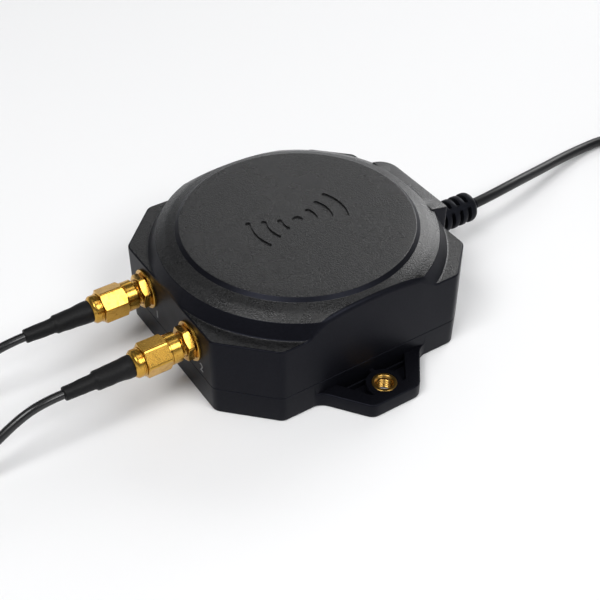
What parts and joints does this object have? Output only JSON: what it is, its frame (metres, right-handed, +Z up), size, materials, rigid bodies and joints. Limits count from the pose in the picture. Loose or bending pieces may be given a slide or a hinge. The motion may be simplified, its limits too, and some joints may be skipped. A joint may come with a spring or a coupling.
{
  "type": "gnss receiver",
  "caption": "Octagonal moulded positioning receiver with a round dome, two mounting ears, coaxial antenna connections on one side and a cable on the other.",
  "frame": {"origin": "middle of the housing's base, on the surface that it stands on", "axes": "+Z up out of the lid, +X to one mounting ear, -Y to the antenna connectors, +Y to the cable"},
  "size_m": [0.1127, 0.3626, 0.0299],
  "materials": {
    "housing_plastic": "black, fine spark-eroded texture",
    "base_plastic": "black satin",
    "seal_rubber": "matte",
    "screw_steel": "zinc plated",
    "insert_brass": "turned",
    "gold_plate": "gold plated, polished",
    "dielectric": "white fluoropolymer",
    "board_laminate": "green solder mask",
    "chip_plastic": "moulded",
    "shield_metal": "tin plated",
    "connector_plastic": "natural nylon",
    "wire_red": "insulation",
    "wire_black": "insulation",
    "wire_green": "insulation",
    "wire_white": "insulation",
    "heat_shrink": "matte sleeve",
    "cable_jacket": "satin PVC",
    "relief_rubber": "matte",
    "plug_steel": "nickel plated"
  },
  "bodies": {
    "receiver": {"antenna_lead_1": "cable_jacket", "antenna_lead_1_coil": "cable_jacket", "antenna_lead_2": "cable_jacket", "antenna_lead_2_coil": "cable_jacket", "backup_cell": "screw_steel", "base_shell": "base_plastic", "board_connector": "connector_plastic", "board_screw_1": "screw_steel", "board_screw_2": "screw_steel", "board_screw_3": "screw_steel", "board_screw_4": "screw_steel", "bulk_capacitor_1": "screw_steel", "bulk_capacitor_2": "screw_steel", "cable_plug": "connector_plastic", "data_wire_a": "wire_green", "data_wire_b": "wire_white", "flash_chip": "chip_plastic", "gnss_module": "board_laminate", "ground_wire": "wire_black", "heat_shrink_1": "heat_shrink", "heat_shrink_2": "heat_shrink", "housing_gasket": "seal_rubber", "housing_screw_1": "screw_steel", "housing_screw_2": "screw_steel", "housing_screw_3": "screw_steel", "housing_screw_4": "screw_steel", "inner_coax_1": "cable_jacket", "inner_coax_2": "cable_jacket", "lead_end_connector_1": "gold_plate", "lead_end_connector_2": "gold_plate", "main_board": "board_laminate", "main_cable": "cable_jacket", "main_cable_coil": "cable_jacket", "module_shield": "shield_metal", "motion_sensor_chip": "chip_plastic", "mount_insert_left": "insert_brass", "mount_insert_right": "insert_brass", "plug_body_1": "gold_plate", "plug_body_2": "gold_plate", "power_inductor": "chip_plastic", "power_wire": "wire_red", "processor_chip": "chip_plastic", "reference_oscillator": "shield_metal", "sma_contact_1": "gold_plate", "sma_contact_2": "gold_plate", "sma_insulator_1": "dielectric", "sma_insulator_2": "dielectric", "sma_jack_1": "gold_plate", "sma_jack_2": "gold_plate", "sma_jam_nut_1": "gold_plate", "sma_jam_nut_2": "gold_plate", "sma_washer_1": "gold_plate", "sma_washer_2": "gold_plate", "strain_relief": "relief_rubber", "upper_housing": "housing_plastic", "usb_plug_body": "relief_rubber", "usb_plug_shell": "plug_steel", "usb_plug_tongue": "dielectric"},
    "coupling_nut_1": {"coupling_nut_1": "gold_plate"},
    "coupling_nut_2": {"coupling_nut_2": "gold_plate"}
  },
  "joints": [
    {"name": "coupling_nut_1_spin", "type": "hinge", "parent": "receiver", "child": "coupling_nut_1", "pos_m": [-0.0116, -0.0486, 0.0162], "axis": [0, -1, 0], "continuous": true},
    {"name": "coupling_nut_2_spin", "type": "hinge", "parent": "receiver", "child": "coupling_nut_2", "pos_m": [0.0116, -0.0486, 0.0162], "axis": [0, -1, 0], "continuous": true}
  ]
}
